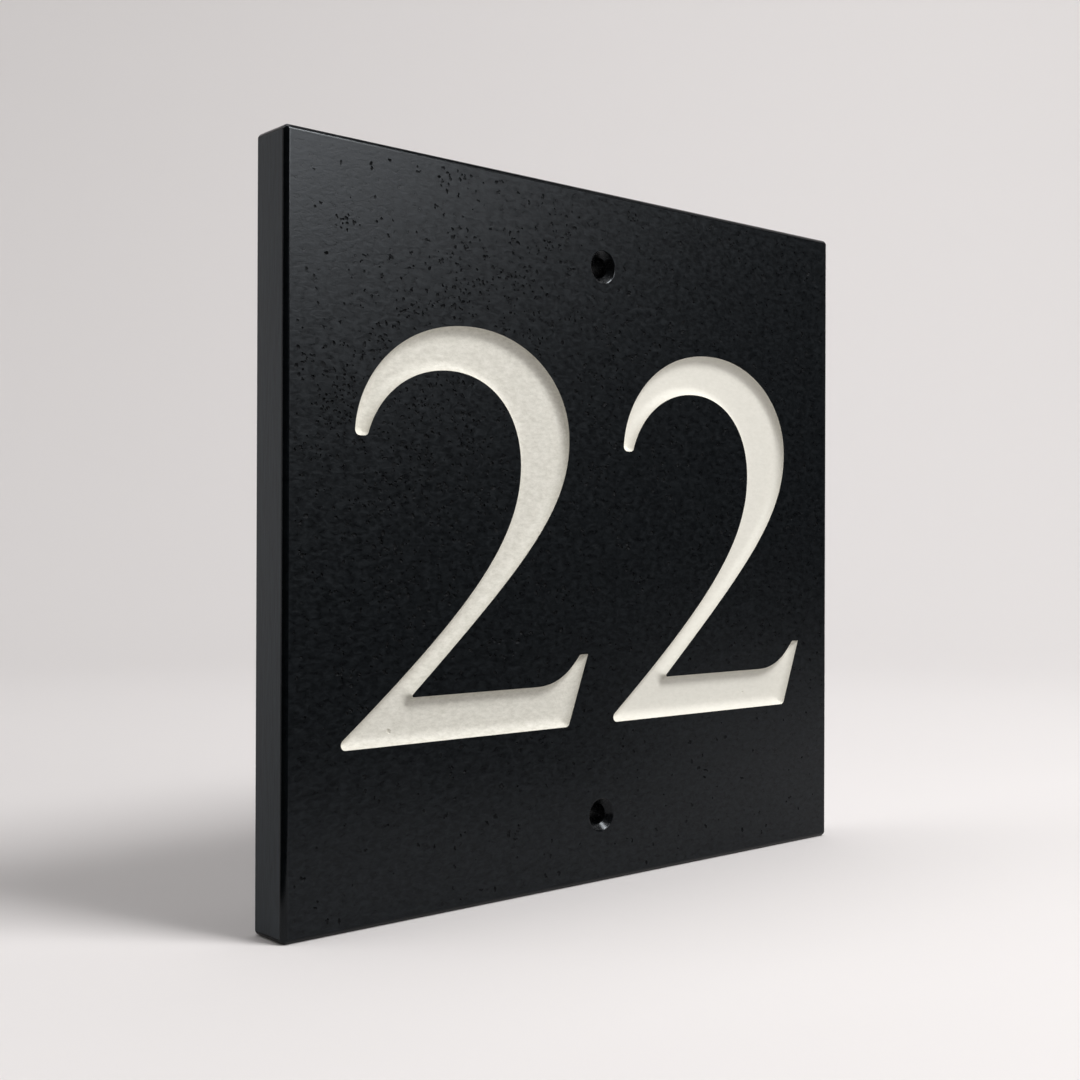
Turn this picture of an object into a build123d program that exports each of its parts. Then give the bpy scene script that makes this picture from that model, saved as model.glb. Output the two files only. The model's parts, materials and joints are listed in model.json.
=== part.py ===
from build123d import *
import os

# Slate house number plaque: one slab with a two-digit number carved into its front and two screw holes.
# +Z is up, the front faces -Y and the origin is the centre of the flat back face. Sizes are in millimetres.

# Slab, with every edge eased
plate_width = 147.0
plate_height = 140.0
plate_thickness = 10.0
edge_radius = 1.0

# Screw holes above and below the number, countersunk from the front
screw_hole_diameter = 4.2
countersink_diameter = 6.6
countersink_angle = 90.0
top_hole_inset = 15.4
bottom_hole_inset = 13.6
hole_line_offset = 0.7

# Number: the digits share the width that the margins and the gaps between them leave
digit_count = 2
left_margin = 9.7
right_margin = 10.7
digit_gap = 5.2
number_rise = 0.6

# Carving: the walls lean in from the rim to a flat floor, and the cutter leaves the floor's corners round
carve_depth = 1.4
wall_run = 0.9
floor_corner_radius = 0.1
nook_radius = 0.3
run_share_of_lip = 0.48


def above(point, rise):
    return (point[0], point[1] + rise)


def beside(point, reach):
    return (point[0] + reach, point[1])


# The 2 is drawn on a grid of units with its foot at the origin: its corners and turning points
foot = (0, 0)
bowl_inside = (55.7, 66.7)
arch_inside = (33.4, 88.8)
hook_outside = (6, 72)
hook_inside = beside(hook_outside, 3.5)
arch_outside = (40, 100)
bowl_outside = (72, 73.8)
nook = (21.8, 10.9)
serif_root = beside(nook, 39.2)
serif_point = (78.8, 18.5)
serif_lip = beside(serif_point, -2.8)
heel = (72, 0)

# Each stretch of the outline, clockwise: where it starts, and the handles that shape it up to the next start
outline = [
    [foot, (38.4, 30.1), above(bowl_inside, -19)],
    [bowl_inside, above(bowl_inside, 13), beside(arch_inside, 13.2)],
    [arch_inside, beside(arch_inside, -12.7), (11.9, 81)],
    [hook_inside],
    [hook_outside, above(hook_outside, 13.3), beside(arch_outside, -21.8)],
    [arch_outside, beside(arch_outside, 18.3), above(bowl_outside, 14.5)],
    [bowl_outside, above(bowl_outside, -17.8), (56.6, 41.5)],
    [nook],
    [serif_root, beside(serif_root, 7.5), (72.6, 14.4)],
    [serif_lip],
    [serif_point],
    [heel],
]
drawn_points = [point for stretch in outline for point in stretch]
round_corners = [drawn_points.index(corner) for corner in (foot, hook_inside, hook_outside, serif_lip, heel)]

digit_width = (plate_width - left_margin - right_margin - (digit_count - 1) * digit_gap) / digit_count
unit = digit_width / serif_point[0]
digit_height = arch_outside[1] * unit
digit_pitch = digit_width + digit_gap
number_left = -plate_width / 2 + left_margin
number_base = -digit_height / 2 + number_rise

# The serif's lip is the narrowest stroke, so it limits how far the walls can lean in
lip_width = (serif_point[0] - serif_lip[0]) * unit
run = min(wall_run, run_share_of_lip * lip_width)

top_hole_height = plate_height / 2 - top_hole_inset
bottom_hole_height = -plate_height / 2 + bottom_hole_inset


def leaned_in(points, distance):
    moved = []
    for index, point in enumerate(points):
        arriving = (point - points[index - 1]).normalized().rotate(Axis.Z, -90)
        leaving = (points[(index + 1) % len(points)] - point).normalized().rotate(Axis.Z, -90)
        moved.append(point + (arriving + leaving) * (distance / (1 + arriving.dot(leaving))))
    return moved


rim_points = [Vector(*point) * unit for point in drawn_points]
floor_points = leaned_in(rim_points, run)
# A level of the carving: its outline, its depth, and the radii of its round corners and of the nook
carving_levels = [
    (rim_points, 0, floor_corner_radius + run, nook_radius),
    (floor_points, carve_depth, floor_corner_radius, nook_radius + run),
]

with BuildPart() as plaque:
    with BuildSketch(Plane.XZ):
        Rectangle(plate_width, plate_height)
    extrude(amount=plate_thickness)
    fillet(plaque.edges(), edge_radius)

    for place in range(digit_count):
        digit_left = number_left + place * digit_pitch
        for points, depth, corner_radius, level_nook_radius in carving_levels:
            digit_origin = (digit_left, depth - plate_thickness, number_base)
            with BuildSketch(Plane(digit_origin, x_dir=(1, 0, 0), z_dir=(0, -1, 0))) as digit:
                with BuildLine():
                    closed_points = points + points[:1]
                    first = 0
                    for stretch in outline:
                        last = first + len(stretch)
                        if len(stretch) == 1:
                            Line(closed_points[first:last + 1])
                        else:
                            Bezier(closed_points[first:last + 1])
                        first = last
                make_face()
                corners = [digit.vertices().sort_by_distance(points[index])[0] for index in round_corners]
                fillet(corners, corner_radius)
                nook_corner = digit.vertices().sort_by_distance(points[drawn_points.index(nook)])[0]
                fillet(nook_corner, level_nook_radius)
        loft(ruled=True, mode=Mode.SUBTRACT)

    with Locations(Plane.XZ.offset(plate_thickness)):
        with Locations((hole_line_offset, top_hole_height), (hole_line_offset, bottom_hole_height)):
            CounterSinkHole(
                radius=screw_hole_diameter / 2,
                counter_sink_radius=countersink_diameter / 2,
                counter_sink_angle=countersink_angle,
            )

os.makedirs("parts", exist_ok=True)
plaque.part.label = "plaque"
export_step(plaque.part, "parts/plaque.step")
print(f"plaque {plate_width} x {plate_thickness} x {plate_height}, digits {digit_height:.1f} high")
print(f"volume {plaque.part.volume:.0f} mm3, valid {plaque.part.is_valid}")
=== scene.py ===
import json
import math
import random

import bpy
import numpy as np
from mathutils import Euler, Matrix, Vector, geometry

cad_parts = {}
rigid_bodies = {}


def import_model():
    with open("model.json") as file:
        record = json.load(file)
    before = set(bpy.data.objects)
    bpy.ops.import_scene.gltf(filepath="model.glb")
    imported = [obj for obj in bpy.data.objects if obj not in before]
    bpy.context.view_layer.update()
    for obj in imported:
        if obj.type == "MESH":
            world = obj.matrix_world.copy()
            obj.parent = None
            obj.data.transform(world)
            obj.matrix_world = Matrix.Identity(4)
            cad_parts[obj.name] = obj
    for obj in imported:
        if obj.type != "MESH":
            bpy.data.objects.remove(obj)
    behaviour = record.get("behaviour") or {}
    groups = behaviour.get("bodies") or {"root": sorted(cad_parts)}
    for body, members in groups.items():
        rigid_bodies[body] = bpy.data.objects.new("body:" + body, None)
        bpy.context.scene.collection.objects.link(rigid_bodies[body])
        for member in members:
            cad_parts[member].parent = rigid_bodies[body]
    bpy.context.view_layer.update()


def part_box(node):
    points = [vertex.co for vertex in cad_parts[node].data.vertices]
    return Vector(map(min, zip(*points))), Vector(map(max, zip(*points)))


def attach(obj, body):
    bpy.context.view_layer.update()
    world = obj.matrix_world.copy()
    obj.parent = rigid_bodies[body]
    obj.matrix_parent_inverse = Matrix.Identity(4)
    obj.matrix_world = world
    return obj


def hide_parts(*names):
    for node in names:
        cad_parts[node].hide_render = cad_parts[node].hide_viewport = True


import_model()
slabLow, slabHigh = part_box("plaque")
frontY = slabLow.y * 1000  # mm, the carved face looks along -Y
print("frame loaded, slab", [round(v * 1000, 2) for v in slabHigh - slabLow], "mm")


def pickOnly(piece):
    bpy.ops.object.select_all(action="DESELECT")
    piece.select_set(True)
    bpy.context.view_layer.objects.active = piece


def applyModifier(piece, kind, **settings):
    pickOnly(piece)
    modifier = piece.modifiers.new(kind.title(), kind)
    for name, value in settings.items():
        setattr(modifier, name, value)
    bpy.ops.object.modifier_apply(modifier=modifier.name)


def cutWith(piece, cutter):
    # what the cutter leaves keeps the finish of the cutter's own faces
    for material in piece.data.materials:
        cutter.data.materials.append(material)
    applyModifier(piece, "BOOLEAN", object=cutter, operation="DIFFERENCE", solver="MANIFOLD")
    bpy.data.objects.remove(cutter)


# the order of the finishes on the plaque's mesh
finishSlots = {
    "honedSlate": 0,
    "creamPaint": 1,
    "sawnSlate": 2,
    "rubbedSlate": 3,
    "drilledShadedSlate": 4,
    "pittedShadedSlate": 5,
}


# the slab: a sawn and honed block with every arris eased
slab = {
    "edgeRadius": 1.0,  # mm
    "edgeSegments": 6,
    "edgeProfile": 0.42,  # 0.25 is a flat chamfer, 0.5 a full round
    "smoothAngle": 40,  # degrees, sharper edges stay crisp
}


def buildSlab():
    bpy.ops.object.select_all(action="DESELECT")
    bpy.ops.mesh.primitive_cube_add(size=1, location=(slabLow + slabHigh) / 2)
    block = bpy.context.object
    block.name = "slate_plaque"
    block.scale = slabHigh - slabLow
    bpy.ops.object.transform_apply(location=True, rotation=True, scale=True)
    block.data.materials.append(slateFinish("honedSlate"))
    block.data.materials.append(creamPaint())
    for name in ("sawnSlate", "rubbedSlate", "drilledShadedSlate", "pittedShadedSlate"):
        block.data.materials.append(slateFinish(name))
    for face in block.data.polygons:
        face.material_index = finishSlots["honedSlate" if face.normal.y < -0.5 else "sawnSlate"]
    applyModifier(
        block, "BEVEL", width=slab["edgeRadius"] / 1000, segments=slab["edgeSegments"],
        profile=slab["edgeProfile"], limit_method="NONE", use_clamp_overlap=False,
        material=finishSlots["rubbedSlate"],
    )
    print("slab eased,", len(block.data.polygons), "faces")
    return block


# the number: two 2s, drawn on a grid of units with the foot at the origin
number = {
    "leftMargin": 9.7,  # mm
    "rightMargin": 10.7,
    "digitGap": 5.2,
    "rise": 0.6,
    "depth": 1.4,
    "wallSlope": 70,  # degrees at the rim; from there the wall curves in to the floor
    "cornerRadius": 1.0,
    "nookRadius": 0.3,
    "curvePoints": 400,  # drawn along each curve, and along each round corner
    "arcPoints": 14,
    "drawStep": 0.05,  # even steps that the corners are worked out on
    "arcStep": 0.15,
    "rimStep": 0.35,
    "leastGap": 0.02,
    "rimDrop": 0.03,  # the wall starts upright at the rim
    "rings": (0.03, 0.08, 0.15, 0.25, 0.38, 0.55, 0.76, 1.0),  # shares of the wall's run, in from the rim
    "ringKept": 0.985,  # share of a ring point's own distance in, under which it has met another wall
    "valleyStep": 0.4,
    "valleyBand": (0.15, 0.2),  # in from the rim, and past the foot of the wall
    "valleyRoom": 0.26,
    "floorStep": 1.6,
    "floorRoom": 0.6,
    "proud": 1.0,  # the cutter stands this far off the face
    "grid": (78.8, 100),  # units from the foot to the serif's point, and to the top of the arch
    # clockwise: a start, its two handles where it is curved, and the corner's radius if it has one
    "stretches": [
        ((0, 0), (38.4, 30.1), (55.7, 47.7), "cornerRadius"),
        ((55.7, 66.7), (55.7, 79.7), (46.6, 88.8), None),
        ((33.4, 88.8), (20.7, 88.8), (11.9, 81), None),
        ((9.5, 72), None, None, "cornerRadius"),
        ((6, 72), (6, 85.3), (18.2, 100), "cornerRadius"),
        ((40, 100), (58.3, 100), (72, 88.3), None),
        ((72, 73.8), (72, 56), (56.6, 41.5), None),
        ((21.8, 10.9), None, None, "nookRadius"),
        ((61, 10.9), (68.5, 10.9), (72.6, 14.4), None),
        ((76, 18.5), None, None, "cornerRadius"),
        ((78.8, 18.5), None, None, None),
        ((72, 0), None, None, "cornerRadius"),
    ],
}
coveRadius = number["depth"] / (1 - math.cos(math.radians(number["wallSlope"])))
wallRun = coveRadius * math.sin(math.radians(number["wallSlope"]))


def walk(line, step):
    # points at even steps along a polyline
    lengths = np.linalg.norm(np.diff(line, axis=0), axis=1)
    along = np.concatenate([[0], np.cumsum(lengths)])
    places = np.linspace(0, along[-1], max(2, round(along[-1] / step) + 1))
    return np.stack([np.interp(places, along, line[:, axis]) for axis in (0, 1)], 1)


def roundedCorner(before, after, radius):
    # a fillet between two polylines that meet: returns both, trimmed, and the arc between them
    corner = after[0]
    arm = 1.0
    for _ in range(6):  # the curves bend a little, so the arms are measured where the arc will start
        backPoint = before[np.argmin(abs(np.linalg.norm(before - corner, axis=1) - arm))]
        aheadPoint = after[np.argmin(abs(np.linalg.norm(after - corner, axis=1) - arm))]
        backWay = (backPoint - corner) / np.linalg.norm(backPoint - corner)
        aheadWay = (aheadPoint - corner) / np.linalg.norm(aheadPoint - corner)
        opening = math.acos(np.clip(backWay @ aheadWay, -1, 1))
        arm = radius / math.tan(opening / 2)
    handle = 4 / 3 * math.tan((math.pi - opening) / 4) * radius / arm
    arc = geometry.interpolate_bezier(
        Vector(backPoint), Vector(backPoint + (corner - backPoint) * handle),
        Vector(aheadPoint + (corner - aheadPoint) * handle), Vector(aheadPoint), number["arcPoints"],
    )
    before = before[np.linalg.norm(before - corner, axis=1) > arm]
    after = after[np.linalg.norm(after - corner, axis=1) > arm]
    return before, after, np.array([point[:2] for point in arc])


def drawRim(unit):
    # one digit's rim in mm, clockwise, closed
    stretches = number["stretches"]
    lines = []
    for index, (start, firstHandle, secondHandle, _) in enumerate(stretches):
        end = stretches[(index + 1) % len(stretches)][0]
        if firstHandle:
            points = [Vector(point) * unit for point in (start, firstHandle, secondHandle, end)]
            curve = geometry.interpolate_bezier(*points, number["curvePoints"])
            line = np.array([point[:2] for point in curve])
        else:
            line = np.array([start, end]) * unit
        lines.append(walk(line, number["drawStep"]))
    arcs = [None] * len(lines)
    for index, stretch in enumerate(stretches):
        if stretch[3]:
            lines[index - 1], lines[index], arcs[index] = roundedCorner(
                lines[index - 1], lines[index], number[stretch[3]])
    rim = []
    for arc, line in zip(arcs, lines):
        if arc is not None:
            rim.append(walk(arc, number["arcStep"])[:-1])
        rim.append(walk(line, number["rimStep"])[:-1])
    rim = np.concatenate(rim)
    gaps = np.linalg.norm(rim - np.roll(rim, 1, axis=0), axis=1)
    return rim[gaps > number["leastGap"]]


def distanceToRim(points, rim):
    start = rim
    edge = np.roll(rim, -1, axis=0) - rim
    squares = (edge ** 2).sum(1)
    nearest = []
    for some in np.array_split(points, max(1, len(points) // 400)):
        reach = some[:, None] - start
        share = np.clip((reach * edge).sum(2) / squares, 0, 1)
        nearest.append(np.linalg.norm(reach - share[..., None] * edge, axis=2).min(1))
    return np.concatenate(nearest)


def insideRim(points, rim):
    ahead = np.roll(rim, -1, axis=0)
    crossings = np.zeros(len(points), int)
    for (x0, z0), (x1, z1) in zip(rim, ahead):
        if z0 != z1:
            between = (points[:, 1] > min(z0, z1)) & (points[:, 1] <= max(z0, z1))
            crossings += between & (points[:, 0] < x0 + (points[:, 1] - z0) * (x1 - x0) / (z1 - z0))
    return crossings % 2 == 1


def gridInside(rim, step):
    low, high = rim.min(0), rim.max(0)
    across, up = np.meshgrid(np.arange(low[0], high[0], step), np.arange(low[1], high[1], step * 0.866))
    across = across + step / 2 * (np.arange(len(across)) % 2)[:, None]
    points = np.stack([across.ravel(), up.ravel()], 1)
    return points[insideRim(points, rim)]


def carvePoints(rim):
    # rim first, then rings down the wall, the valleys of the narrow strokes, and the floor
    ways = np.roll(rim, -1, axis=0) - np.roll(rim, 1, axis=0)
    ways /= np.linalg.norm(ways, axis=1)[:, None]
    inward = np.stack([ways[:, 1], -ways[:, 0]], 1)
    points = [rim]
    for share in number["rings"]:
        ringPoints = rim + inward * share * wallRun
        kept = distanceToRim(ringPoints, rim) > share * wallRun * number["ringKept"]
        points.append(ringPoints[kept])
    valley = gridInside(rim, number["valleyStep"])
    depth = distanceToRim(valley, rim)
    fromRim, pastWall = number["valleyBand"]
    valley = valley[(depth > fromRim) & (depth < wallRun + pastWall)]
    taken = np.concatenate(points)
    room = np.array([np.linalg.norm(taken - point, axis=1).min() for point in valley])
    points.append(valley[room > number["valleyRoom"]])
    floor = gridInside(rim, number["floorStep"])
    points.append(floor[distanceToRim(floor, rim) > wallRun + number["floorRoom"]])
    return np.concatenate(points)


def carvedDepth(distance):
    # the cove is part of a circle that meets the floor smoothly
    short = np.clip(wallRun - distance, 0, None)
    rise = coveRadius - np.sqrt(coveRadius ** 2 - short ** 2)
    return np.maximum(number["depth"] - rise, number["rimDrop"])


def carveDigit(block, rim, foot):
    points = carvePoints(rim)
    edges = [(index, (index + 1) % len(rim)) for index in range(len(rim))]
    flat, _, faces, *_ = geometry.delaunay_2d_cdt([Vector(point) for point in points], edges, [], 1, 1e-5)
    flat = np.array([point[:2] for point in flat])
    depth = carvedDepth(distanceToRim(flat, rim))
    places = np.stack([flat[:, 0] + foot[0], frontY + depth, flat[:, 1] + foot[1]], 1) / 1000
    mesh = bpy.data.meshes.new("digit_cutter")
    mesh.from_pydata(places.tolist(), [], faces)
    cutter = bpy.data.objects.new("digit_cutter", mesh)
    bpy.context.scene.collection.objects.link(cutter)
    for face in mesh.polygons:
        face.material_index = finishSlots["creamPaint"]
    # the rim is drawn out past the front and closed, to make the cutter solid
    pickOnly(cutter)
    bpy.ops.object.mode_set(mode="EDIT")
    bpy.ops.mesh.select_all(action="SELECT")
    bpy.ops.mesh.region_to_loop()
    bpy.ops.mesh.extrude_region_move(TRANSFORM_OT_translate={"value": (0, -number["proud"] / 1000, 0)})
    bpy.ops.mesh.edge_face_add()
    bpy.ops.mesh.select_all(action="SELECT")
    bpy.ops.mesh.normals_make_consistent(inside=False)
    bpy.ops.object.mode_set(mode="OBJECT")
    print("digit cutter", len(mesh.vertices), "points")
    cutWith(block, cutter)


def carveNumber(block):
    width = (slabHigh.x - slabLow.x) * 1000
    digitWidth = (width - number["leftMargin"] - number["rightMargin"] - number["digitGap"]) / 2
    unit = digitWidth / number["grid"][0]
    base = -number["grid"][1] * unit / 2 + number["rise"]
    rim = drawRim(unit)
    feet = []
    for place in range(2):
        left = slabLow.x * 1000 + number["leftMargin"] + place * (digitWidth + number["digitGap"])
        carveDigit(block, rim, (left, base))
        feet.append((left, base))
    return rim, feet


# the screw holes, countersunk from the front, with the lip rubbed round
screwHoles = {
    "boreRadius": 2.1,  # mm
    "sinkRadius": 3.3,
    "lipRadius": 0.5,
    "lipSteps": 4,
    "lineX": 0.7,
    "heights": (54.6, -56.4),
    "sides": 64,
    "proud": 0.5,  # the cutter starts this far off the face
}


def holeProfile():
    # radius and depth in mm, from in front of the face, over the lip, down the 90 degree cone to the bore
    lip = screwHoles["lipRadius"]
    lipStart = screwHoles["sinkRadius"] + lip * math.tan(math.radians(22.5))
    profile = [(lipStart, -screwHoles["proud"])]
    for step in range(1, screwHoles["lipSteps"] + 1):
        turn = math.radians(45) * step / screwHoles["lipSteps"]
        profile.append((lipStart - lip * math.sin(turn), lip * (1 - math.cos(turn))))
    radius, lipDepth = profile[-1]
    profile.append((screwHoles["boreRadius"], lipDepth + radius - screwHoles["boreRadius"]))
    thickness = (slabHigh.y - slabLow.y) * 1000
    profile.append((screwHoles["boreRadius"], thickness + screwHoles["proud"]))
    return profile, lipDepth


def drillHoles(block):
    profile, lipDepth = holeProfile()
    for height in screwHoles["heights"]:
        radius, depth = profile[0]
        bpy.ops.object.select_all(action="DESELECT")
        bpy.ops.mesh.primitive_circle_add(
            vertices=screwHoles["sides"], radius=radius / 1000, fill_type="NGON",
            location=(screwHoles["lineX"] / 1000, (frontY + depth) / 1000, height / 1000),
            rotation=(math.radians(90), 0, 0),
        )
        cutter = bpy.context.object
        bpy.ops.object.transform_apply(location=True, rotation=True, scale=True)
        bpy.ops.object.mode_set(mode="EDIT")
        bpy.ops.mesh.select_all(action="SELECT")
        for nextRadius, nextDepth in profile[1:]:
            run = (nextDepth - depth) / 1000
            bpy.ops.mesh.extrude_region_move(TRANSFORM_OT_translate={"value": (0, run, 0)})
            bpy.ops.transform.resize(value=(nextRadius / radius, 1, nextRadius / radius))
            radius = nextRadius
            depth = nextDepth
        bpy.ops.mesh.select_all(action="SELECT")
        bpy.ops.mesh.normals_make_consistent(inside=False)
        bpy.ops.object.mode_set(mode="OBJECT")
        for face in cutter.data.polygons:
            onLip = face.center.y * 1000 - frontY < lipDepth
            # the drilled faces take a blacker tone: painted shade inside the holes
            face.material_index = finishSlots["rubbedSlate" if onLip else "drilledShadedSlate"]
        cutWith(block, cutter)
    print("screw holes drilled")


# pits where small grains fell out as the face was honed; later layers run into earlier ones
pits = {
    "seed": 22,
    "layers": [  # finish, count, diameter and depth in mm, share set against a pit of the layer before
        ("pittedShadedSlate", 1300, (0.24, 1.05), (0.06, 0.2), 0),
        ("pittedShadedSlate", 900, (0.24, 0.8), (0.05, 0.16), 0.75),
        ("pittedShadedSlate", 600, (0.22, 0.7), (0.05, 0.14), 0.9),
    ],
    "nests": 150,  # tight groups, because a lost grain loosens the ones beside it
    "nestSpread": (0.4, 1.8),  # mm
    "nestShape": (1.4, 0.8),  # longer across than up
    "nested": 0.65,  # share laid in the nests
    "edgeRoom": 2.0,  # kept clear along the arrises, the number's rim and the holes
    "rimRoom": 0.8,
    "holeRoom": 1.0,
    "spacing": 1.75,  # least gap between the pits of a layer, in sums of their radii
    "touching": 0.8,  # gap between a pit and the one it is set against
    "tries": 3,  # places tried for each pit
    "commonSize": 1.25,  # times the least diameter
    "length": (1.0, 1.6),  # times the width
    "steepest": 1.3,  # depth by radius
    "overcut": 1.3,  # a crumb's facets lie inside its round, so it is set deeper
    "turn": (0.5, 0.9),  # radians, mean and spread: most lie along one way of the stone
    "variants": 12,
    "shake": 0.28,  # how far the crumbs' corners are moved, by radius
    "clusters": [  # centre, spread and weight, in mm on the face
        ((-50, 30), 16, 3.0),
        ((-38, 5), 15, 3.0),
        ((-25, 42), 14, 2.5),
        ((-55, 0), 14, 2.0),
        ((-62, 22), 7, 1.6),
        ((-8, 28), 16, 1.6),
        ((20, 46), 22, 1.2),
        ((-35, -25), 20, 1.0),
        ((10, 0), 24, 0.9),
        ((45, 20), 24, 0.5),
        ((0, -45), 40, 0.6),
    ],
    "scattered": 0.15,  # share laid anywhere
    "dents": [  # small dents in the painted floor: place on the face and radius, in mm
        ((-50.8, -35.4), 0.42),
        ((45.2, -34.5), 0.22),
    ],
    "dentShape": (1.5, 0.8),  # length and depth by radius
}


def crumbShapes(chance):
    # a few crooked crumbs, each a low ico sphere shaken out of true
    shapes = []
    for index in range(pits["variants"]):
        bpy.ops.object.select_all(action="DESELECT")
        bpy.ops.mesh.primitive_ico_sphere_add(subdivisions=1, radius=1)
        crumb = bpy.context.object
        bpy.ops.object.mode_set(mode="EDIT")
        bpy.ops.mesh.select_all(action="SELECT")
        bpy.ops.transform.vertex_random(offset=pits["shake"], seed=chance.randrange(9999))
        bpy.ops.mesh.convex_hull()
        bpy.ops.mesh.normals_make_consistent(inside=False)
        bpy.ops.object.mode_set(mode="OBJECT")
        corners = [vertex.co.copy() for vertex in crumb.data.vertices]
        faces = [tuple(face.vertices) for face in crumb.data.polygons]
        shapes.append((corners, faces))
        bpy.data.objects.remove(crumb)
    return shapes


def pitNests(chance):
    weights = [cluster[2] for cluster in pits["clusters"]]
    nests = []
    for (centreX, centreZ), spread, _ in chance.choices(pits["clusters"], weights, k=pits["nests"]):
        place = (chance.gauss(centreX, spread), chance.gauss(centreZ, spread))
        nests.append((place, chance.uniform(*pits["nestSpread"])))
    return nests


def pitPlaces(layer, parents, nests, rim, feet, chance):
    # seeded places, clear of each other, of the number, of the holes and of the edges
    _, count, diameter, _, besideShare = layer
    halfWidth = (slabHigh.x - slabLow.x) * 500 - pits["edgeRoom"]
    halfHeight = (slabHigh.z - slabLow.z) * 500 - pits["edgeRoom"]
    weights = [cluster[2] for cluster in pits["clusters"]]
    tries = []
    for _ in range(count * pits["tries"]):
        radius = chance.triangular(*diameter, diameter[0] * pits["commonSize"]) / 2
        if parents and chance.random() < besideShare:
            x, z, parentRadius = chance.choice(parents)
            way = chance.uniform(0, 2 * math.pi)
            x += math.cos(way) * (radius + parentRadius) * pits["touching"]
            z += math.sin(way) * (radius + parentRadius) * pits["touching"]
        elif chance.random() < pits["scattered"]:
            x = chance.uniform(-halfWidth, halfWidth)
            z = chance.uniform(-halfHeight, halfHeight)
        elif chance.random() < pits["nested"]:
            (nestX, nestZ), spread = chance.choice(nests)
            x = chance.gauss(nestX, spread * pits["nestShape"][0])
            z = chance.gauss(nestZ, spread * pits["nestShape"][1])
        else:
            (centreX, centreZ), spread, _ = chance.choices(pits["clusters"], weights)[0]
            x = chance.gauss(centreX, spread)
            z = chance.gauss(centreZ, spread)
        tries.append((x, z, radius))
    spots = np.array(tries)
    clear = (abs(spots[:, 0]) < halfWidth) & (abs(spots[:, 1]) < halfHeight)
    for foot in feet:
        own = spots[:, :2] - np.array(foot)
        clear &= (distanceToRim(own, rim) > pits["rimRoom"]) & ~insideRim(own, rim)
    for height in screwHoles["heights"]:
        hole = np.array((screwHoles["lineX"], height))
        clear &= np.linalg.norm(spots[:, :2] - hole, axis=1) > screwHoles["sinkRadius"] + pits["holeRoom"]
    places = []
    for x, z, radius in spots[clear]:
        if len(places) == count:
            break
        if all((x - a) ** 2 + (z - b) ** 2 > (pits["spacing"] * (radius + c)) ** 2 for a, b, c in places):
            places.append((x, z, radius))
    return places


def cutCrumbs(block, finish, crumbs, shapes, chance):
    # one cutter of many crumbs: centre, length, depth and radius of each, in mm
    corners = []
    faces = []
    for centre, long, depth, radius in crumbs:
        shape, shapeFaces = chance.choice(shapes)
        turn = Matrix.Rotation(chance.gauss(*pits["turn"]), 3, "Y")
        spin = Euler([chance.uniform(0, 6.28) for _ in range(3)]).to_matrix()
        first = len(corners)
        for corner in shape:
            spun = spin @ corner
            sized = turn @ Vector((spun.x * long, spun.y * depth, spun.z * radius))
            corners.append((sized + Vector(centre)) / 1000)
        faces.extend([tuple(first + index for index in face) for face in shapeFaces])
    mesh = bpy.data.meshes.new("crumb_cutter")
    mesh.from_pydata(corners, [], faces)
    for face in mesh.polygons:
        face.material_index = finishSlots[finish]
    cutter = bpy.data.objects.new("crumb_cutter", mesh)
    bpy.context.scene.collection.objects.link(cutter)
    print("crumbs", len(crumbs), "cutter faces", len(faces))
    cutWith(block, cutter)


def pitFace(block, rim, feet):
    chance = random.Random(pits["seed"])
    shapes = crumbShapes(chance)
    nests = pitNests(chance)
    parents = []
    for layer in pits["layers"]:
        parents = pitPlaces(layer, parents, nests, rim, feet, chance)
        crumbs = []
        for x, z, radius in parents:
            long = radius * chance.uniform(*pits["length"])
            depth = min(chance.uniform(*layer[3]), radius * pits["steepest"]) * pits["overcut"]
            crumbs.append(((x, frontY, z), long, depth, radius))
        cutCrumbs(block, layer[0], crumbs, shapes, chance)
    floorY = frontY + number["depth"]
    dentLength, dentDepth = pits["dentShape"]
    dents = []
    for (x, z), radius in pits["dents"]:
        dents.append(((x, floorY, z), radius * dentLength, radius * dentDepth, radius))
    cutCrumbs(block, "creamPaint", dents, shapes, chance)
    # the pits keep crisp rims, so that their slopes don't bend the shading of the flat face
    pickOnly(block)
    block.active_material_index = finishSlots["pittedShadedSlate"]
    bpy.ops.object.mode_set(mode="EDIT")
    bpy.ops.mesh.select_all(action="DESELECT")
    bpy.ops.object.material_slot_select()
    bpy.ops.mesh.region_to_loop()
    bpy.ops.mesh.mark_sharp()
    # slivers left loose between pits come off: all that isn't joined to the largest face
    bpy.ops.mesh.select_all(action="DESELECT")
    bpy.ops.object.mode_set(mode="OBJECT")
    max(block.data.polygons, key=lambda face: face.area).select = True
    bpy.ops.object.mode_set(mode="EDIT")
    bpy.ops.mesh.select_linked()
    bpy.ops.mesh.select_all(action="INVERT")
    bpy.ops.mesh.delete(type="FACE")
    bpy.ops.object.mode_set(mode="OBJECT")


def linear(hexColour):
    # sRGB hex to the linear colour that sockets take
    channels = [int(hexColour[index:index + 2], 16) / 255 for index in (1, 3, 5)]
    return [c / 12.92 if c <= 0.04045 else ((c + 0.055) / 1.055) ** 2.4 for c in channels] + [1]


def addNode(tree, kind, settings=None, links=None):
    # settings are properties by name or input values by socket; links are sockets to join to inputs
    node = tree.nodes.new(kind)
    for name, value in (settings or {}).items():
        if hasattr(node, str(name)):
            setattr(node, name, value)
        else:
            node.inputs[name].default_value = value
    for name, socket in (links or {}).items():
        tree.links.new(socket, node.inputs[name])
    return node


def perMetre(size):
    # a pattern's scale from the size in mm of its features
    return 1000 / size


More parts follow.
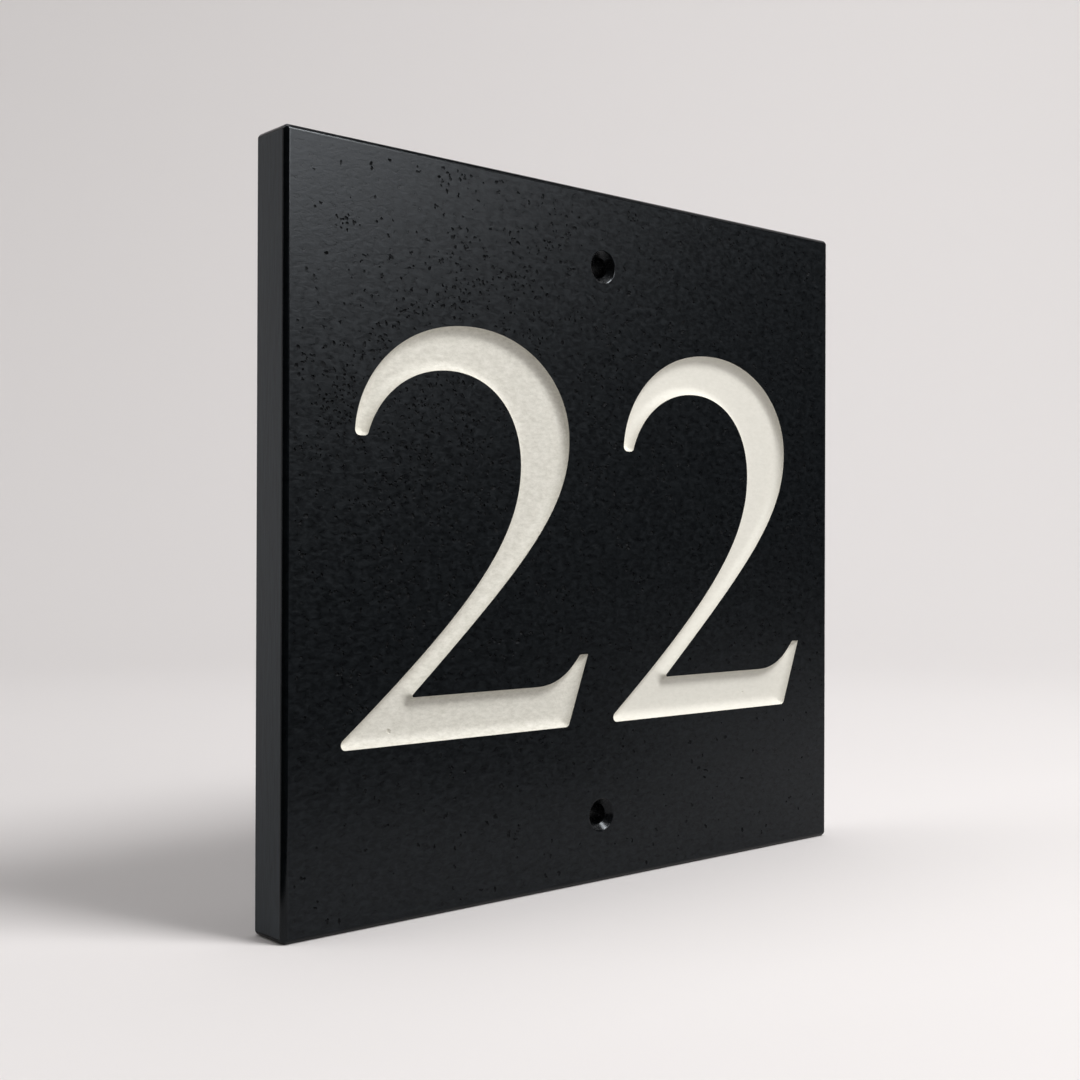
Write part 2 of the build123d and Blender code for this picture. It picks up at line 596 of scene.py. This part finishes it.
# what all the slate shares: how its mottling is drawn, and a sheen that is a little blue
slateGrain = {
    "detail": 5,
    "roughness": 0.62,
    "distortion": 0.6,
    "toneStops": (0.36, 0.64),
    "glossStops": (0.3, 0.7),
    "reliefHeight": 0.00008,  # metres
    "sheen": "#F2F8FF",
}
slateFinishes = {
    # honed by hand: near-black and smooth, with a soft low gloss that fine streaky mottling breaks up
    "honedSlate": {
        "tones": ("#080A0C", "#0F1316"), "roughness": (0.26, 0.4), "specular": (0.3, 0.48),
        "relief": 0.4, "mottle": 0.9, "stretch": (0.55, 1, 1),
    },
    # sawn edges and back: a shade greyer, with fine saw lines along the edge
    "sawnSlate": {
        "tones": ("#2E3337", "#3A4146"), "roughness": (0.36, 0.46), "specular": (0.36, 0.4),
        "relief": 0.5, "mottle": 6, "stretch": (1, 14, 1),
    },
    # rubbed arrises and hole lips: smoother than the face, so they mirror in a crisp line
    "rubbedSlate": {
        "tones": ("#06080A", "#0B0E10"), "roughness": (0.14, 0.2), "specular": (0.38, 0.42),
        "relief": 0.2, "mottle": 1.3, "stretch": (1, 1, 1),
    },
    # drilled: burnished by the bit, with a tone blacker than the face as painted shade inside the holes, so
    # that only the lit side of the cone shows
    "drilledShadedSlate": {
        "tones": ("#050607", "#090A0B"), "roughness": (0.22, 0.3), "specular": (0.38, 0.42),
        "relief": 0.6, "mottle": 1.0, "stretch": (1, 1, 1),
    },
    # broken grain in the pits: dull, with a tone darker than the face as painted shade in the pits
    "pittedShadedSlate": {
        "tones": ("#060708", "#0A0B0C"), "roughness": (0.55, 0.7), "specular": (0.15, 0.24),
        "relief": 0.5, "mottle": 0.8, "stretch": (1, 1, 1),
    },
}


def slateFinish(name):
    finish = slateFinishes[name]
    material = bpy.data.materials.new(name)
    material.use_nodes = True
    tree = material.node_tree
    shader = tree.nodes["Principled BSDF"]
    onStone = addNode(tree, "ShaderNodeTexCoord").outputs["Object"]
    mapping = addNode(tree, "ShaderNodeMapping", {"Scale": finish["stretch"]}, {"Vector": onStone})
    mottle = addNode(
        tree, "ShaderNodeTexNoise",
        {"Scale": perMetre(finish["mottle"]), "Detail": slateGrain["detail"],
         "Roughness": slateGrain["roughness"], "Distortion": slateGrain["distortion"]},
        {"Vector": mapping.outputs["Vector"]})
    tint = addNode(tree, "ShaderNodeValToRGB", None, {"Fac": mottle.outputs["Fac"]})
    for stop, place, tone in zip(tint.color_ramp.elements, slateGrain["toneStops"], finish["tones"]):
        stop.position = place
        stop.color = linear(tone)
    tree.links.new(tint.outputs["Color"], shader.inputs["Base Color"])
    start, end = slateGrain["glossStops"]
    for socket, setting in (("Roughness", "roughness"), ("Specular IOR Level", "specular")):
        low, high = finish[setting]
        gloss = addNode(
            tree, "ShaderNodeMapRange", {"From Min": start, "From Max": end, "To Min": low, "To Max": high},
            {"Value": mottle.outputs["Fac"]})
        tree.links.new(gloss.outputs["Result"], shader.inputs[socket])
    bump = addNode(
        tree, "ShaderNodeBump", {"Strength": finish["relief"], "Distance": slateGrain["reliefHeight"]},
        {"Height": mottle.outputs["Fac"]})
    tree.links.new(bump.outputs["Normal"], shader.inputs["Normal"])
    shader.inputs["Specular Tint"].default_value = linear(slateGrain["sheen"])
    return material


# masonry paint brushed into the carving: cream and matt, sandy on the left digit,
# and drawn lighter and smoother on the right one
paint = {
    "tones": ("#D9D6CA", "#F7F4EA"),
    "toneStops": (0.3, 0.7),
    "roughness": 0.62,
    "grain": 0.7,  # mm
    "grainDetail": (5, 0.75),
    "stretch": (0.5, 1, 1),
    "relief": 0.6,
    "reliefHeight": 0.00005,  # metres
    "rightSmoothing": 0.65,  # share of the grain evened out towards a lighter tone on the right digit
    "rightTone": 0.66,
    "change": (-0.004, 0.004),  # metres across, between the digits
}


def creamPaint():
    material = bpy.data.materials.new("creamPaint")
    material.use_nodes = True
    tree = material.node_tree
    shader = tree.nodes["Principled BSDF"]
    onStone = addNode(tree, "ShaderNodeTexCoord").outputs["Object"]
    mapping = addNode(tree, "ShaderNodeMapping", {"Scale": paint["stretch"]}, {"Vector": onStone})
    detail, coarseness = paint["grainDetail"]
    grain = addNode(
        tree, "ShaderNodeTexNoise",
        {"Scale": perMetre(paint["grain"]), "Detail": detail, "Roughness": coarseness},
        {"Vector": mapping.outputs["Vector"]})
    across = addNode(tree, "ShaderNodeSeparateXYZ", None, {"Vector": onStone}).outputs["X"]
    left, right = paint["change"]
    # the right digit is drawn lighter and smoother than the left
    rightShare = addNode(
        tree, "ShaderNodeMapRange",
        {"From Min": left, "From Max": right, "To Min": 0, "To Max": paint["rightSmoothing"]},
        {"Value": across})
    shown = addNode(
        tree, "ShaderNodeMix", {"data_type": "FLOAT", "B": paint["rightTone"]},
        {"Factor": rightShare.outputs["Result"], "A": grain.outputs["Fac"]}).outputs["Result"]
    tint = addNode(tree, "ShaderNodeValToRGB", None, {"Fac": shown})
    for stop, place, tone in zip(tint.color_ramp.elements, paint["toneStops"], paint["tones"]):
        stop.position = place
        stop.color = linear(tone)
    tree.links.new(tint.outputs["Color"], shader.inputs["Base Color"])
    bump = addNode(
        tree, "ShaderNodeBump", {"Strength": paint["relief"], "Distance": paint["reliefHeight"]},
        {"Height": shown})
    tree.links.new(bump.outputs["Normal"], shader.inputs["Normal"])
    shader.inputs["Roughness"].default_value = paint["roughness"]
    return material


plaque = buildSlab()
rim, feet = carveNumber(plaque)
drillHoles(plaque)
pitFace(plaque, rim, feet)
pickOnly(plaque)
bpy.ops.object.shade_smooth_by_angle(angle=math.radians(slab["smoothAngle"]))
applyModifier(plaque, "WEIGHTED_NORMAL", keep_sharp=True)
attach(plaque, "root")
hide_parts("plaque")
print("plaque", len(plaque.data.polygons), "faces")


# the studio: a pale bowl-shaped sweep, soft lamps, dark cards for the slate to mirror, and the camera
studio = {
    "sweepColour": "#ECE8E7",
    "sweepFlat": 0.55,  # metres of level floor around the plaque
    "sweepCurve": 0.8,
    "sweepHeight": 1.6,
    "sweepSides": 96,
    "sweepSteps": 14,
    "floorShares": (0.55, 0.3),  # how much of the floor's paleness gloss and bounced light see
    "wallShares": (1.0, 0.45),
    "cardColour": "#101010",
    "cardSteps": 24,
    "cards": [  # name, radius and height in metres of both edges, degrees round the front from and to
        ("left_card", (0.42, 0.0), (0.42, 0.7), -95, -10),
        ("front_card", (0.42, 0.0), (0.42, 0.18), -10, 45),
        ("right_card", (0.42, 0.0), (0.42, 0.3), 45, 80),
        ("floor_card", (0.1, 0.001), (0.42, 0.001), -95, 45),
    ],
    "worldColour": "#C8C8C8",
    "worldStrength": 0.02,
    "camera": (-0.20308, -0.22569, -0.00136),
    "yaw": 40.937,  # degrees to the right of straight on
    "pitch": 0.112,
    "roll": 0.189,
    "lens": 48.729,
    "sensor": 36,
    "lamps": [  # name, place, aim, width, height, watts
        ("keySoftbox", (0.24, -0.52, 0.74), (0, 0, 0), 0.34, 0.36, 6.7),
        ("lowGlow", (0.23, -0.70, 0.34), (0, 0, 0), 0.42, 0.2, 1.55),
        ("wallWash", (0.15, 0.2, 1.0), (0.6, 1.15, 0.65), 0.6, 0.5, 3.0),
        ("rightWash", (0.55, 0.05, 0.9), (1.4, 0.55, 0.6), 0.5, 0.5, 2.9),
        ("topFill", (0.12, 0.2, 1.35), (0.12, 0.2, 0), 1.0, 0.8, 4.3),
        ("backFill", (-0.7, 0.35, 0.8), (-0.15, 0.1, -0.07), 0.6, 0.6, 2.1),
    ],
}


def matteMaterial(name, colour):
    material = bpy.data.materials.new(name)
    material.use_nodes = True
    shader = material.node_tree.nodes["Principled BSDF"]
    shader.inputs["Base Color"].default_value = linear(colour)
    shader.inputs["Roughness"].default_value = 0.9
    shader.inputs["Specular IOR Level"].default_value = 0.1
    return material


def sweepMaterial(name, glossShare, bounceShare):
    # matt paper that the camera sees pale, while reflections and bounced light get a share of it
    material = matteMaterial(name, studio["sweepColour"])
    tree = material.node_tree
    path = addNode(tree, "ShaderNodeLightPath")
    bounced = addNode(
        tree, "ShaderNodeMapRange", {"To Min": 1, "To Max": bounceShare},
        {"Value": path.outputs["Is Diffuse Ray"]})
    mirrored = addNode(
        tree, "ShaderNodeMapRange", {"To Min": 1, "To Max": glossShare},
        {"Value": path.outputs["Is Glossy Ray"]})
    seen = addNode(
        tree, "ShaderNodeMath", {"operation": "MULTIPLY"},
        {0: bounced.outputs["Result"], 1: mirrored.outputs["Result"]})
    paper = addNode(
        tree, "ShaderNodeVectorMath", {"operation": "SCALE", 0: linear(studio["sweepColour"])[:3]},
        {"Scale": seen.outputs["Value"]})
    tree.links.new(paper.outputs["Vector"], tree.nodes["Principled BSDF"].inputs["Base Color"])
    return material


def buildSweep():
    bpy.ops.object.select_all(action="DESELECT")
    bpy.ops.mesh.primitive_circle_add(
        vertices=studio["sweepSides"], radius=studio["sweepFlat"], fill_type="NGON",
        location=(0, 0, slabLow.z))
    sweep = bpy.context.object
    sweep.name = "sweep"
    bpy.ops.object.transform_apply(location=True, rotation=True, scale=True)
    bpy.ops.object.mode_set(mode="EDIT")
    bpy.ops.mesh.select_all(action="SELECT")
    bpy.ops.mesh.region_to_loop()
    radius = studio["sweepFlat"]
    height = 0
    steps = studio["sweepSteps"]
    for step in range(1, steps + 2):  # the curve, then the wall
        bend = math.radians(90) * min(step, steps) / steps
        nextRadius = studio["sweepFlat"] + studio["sweepCurve"] * math.sin(bend)
        nextHeight = studio["sweepCurve"] * (1 - math.cos(bend)) if step <= steps else studio["sweepHeight"]
        bpy.ops.mesh.extrude_region_move(TRANSFORM_OT_translate={"value": (0, 0, nextHeight - height)})
        bpy.ops.transform.resize(value=(nextRadius / radius, nextRadius / radius, 1))
        radius = nextRadius
        height = nextHeight
    bpy.ops.object.mode_set(mode="OBJECT")
    bpy.ops.object.shade_smooth()
    sweep.data.materials.append(sweepMaterial("paleFloor", *studio["floorShares"]))
    sweep.data.materials.append(sweepMaterial("paleWall", *studio["wallShares"]))
    for face in sweep.data.polygons:
        face.material_index = 0 if face.center.z < slabLow.z + 0.01 else 1


def buildCards():
    # black cards that only reflections see, as foam board is used to keep gloss off a dark face
    for name, near, far, fromAngle, toAngle in studio["cards"]:
        bpy.ops.object.select_all(action="DESELECT")
        bpy.ops.mesh.primitive_plane_add(size=0.001)
        card = bpy.context.object
        card.name = name
        way = Vector((math.sin(math.radians(fromAngle)), -math.cos(math.radians(fromAngle)), 0))
        start, end = (way * radius + Vector((0, 0, slabLow.z + height)) for radius, height in (near, far))
        bpy.ops.object.mode_set(mode="EDIT")
        bpy.ops.mesh.select_all(action="SELECT")
        bpy.ops.mesh.merge(type="CENTER")
        bpy.ops.transform.translate(value=start)
        bpy.ops.mesh.extrude_region_move(TRANSFORM_OT_translate={"value": end - start})
        bpy.ops.mesh.select_all(action="SELECT")
        bpy.ops.mesh.spin(
            steps=studio["cardSteps"], angle=math.radians(toAngle - fromAngle),
            center=(0, 0, 0), axis=(0, 0, -1))
        bpy.ops.object.mode_set(mode="OBJECT")
        card.data.materials.append(matteMaterial("blackCard", studio["cardColour"]))
        card.visible_camera = False
        card.visible_diffuse = False
        card.visible_shadow = False


def hangLamps():
    for name, place, aim, width, height, watts in studio["lamps"]:
        lamp = bpy.data.lights.new(name, "AREA")
        lamp.shape = "RECTANGLE"
        lamp.size = width
        lamp.size_y = height
        lamp.energy = watts
        lampObject = bpy.data.objects.new(name, lamp)
        lampObject.location = place
        lampObject.rotation_euler = (Vector(aim) - Vector(place)).to_track_quat("-Z", "Y").to_euler()
        bpy.context.scene.collection.objects.link(lampObject)
    world = bpy.data.worlds.new("studio")
    world.use_nodes = True
    world.node_tree.nodes["Background"].inputs["Color"].default_value = linear(studio["worldColour"])
    world.node_tree.nodes["Background"].inputs["Strength"].default_value = studio["worldStrength"]
    bpy.context.scene.world = world


def placeCamera():
    camera = bpy.data.cameras.new("camera")
    camera.lens = studio["lens"]
    camera.sensor_width = studio["sensor"]
    cameraObject = bpy.data.objects.new("camera", camera)
    cameraObject.location = studio["camera"]
    look = Euler((math.radians(90 + studio["pitch"]), 0, math.radians(-studio["yaw"])))
    tilt = Matrix.Rotation(math.radians(studio["roll"]), 3, "Z")
    cameraObject.rotation_euler = (look.to_matrix() @ tilt).to_euler()
    bpy.context.scene.collection.objects.link(cameraObject)
    bpy.context.scene.camera = cameraObject


buildSweep()
buildCards()
hangLamps()
placeCamera()
bpy.context.scene.view_settings.view_transform = "Standard"
print("studio set")
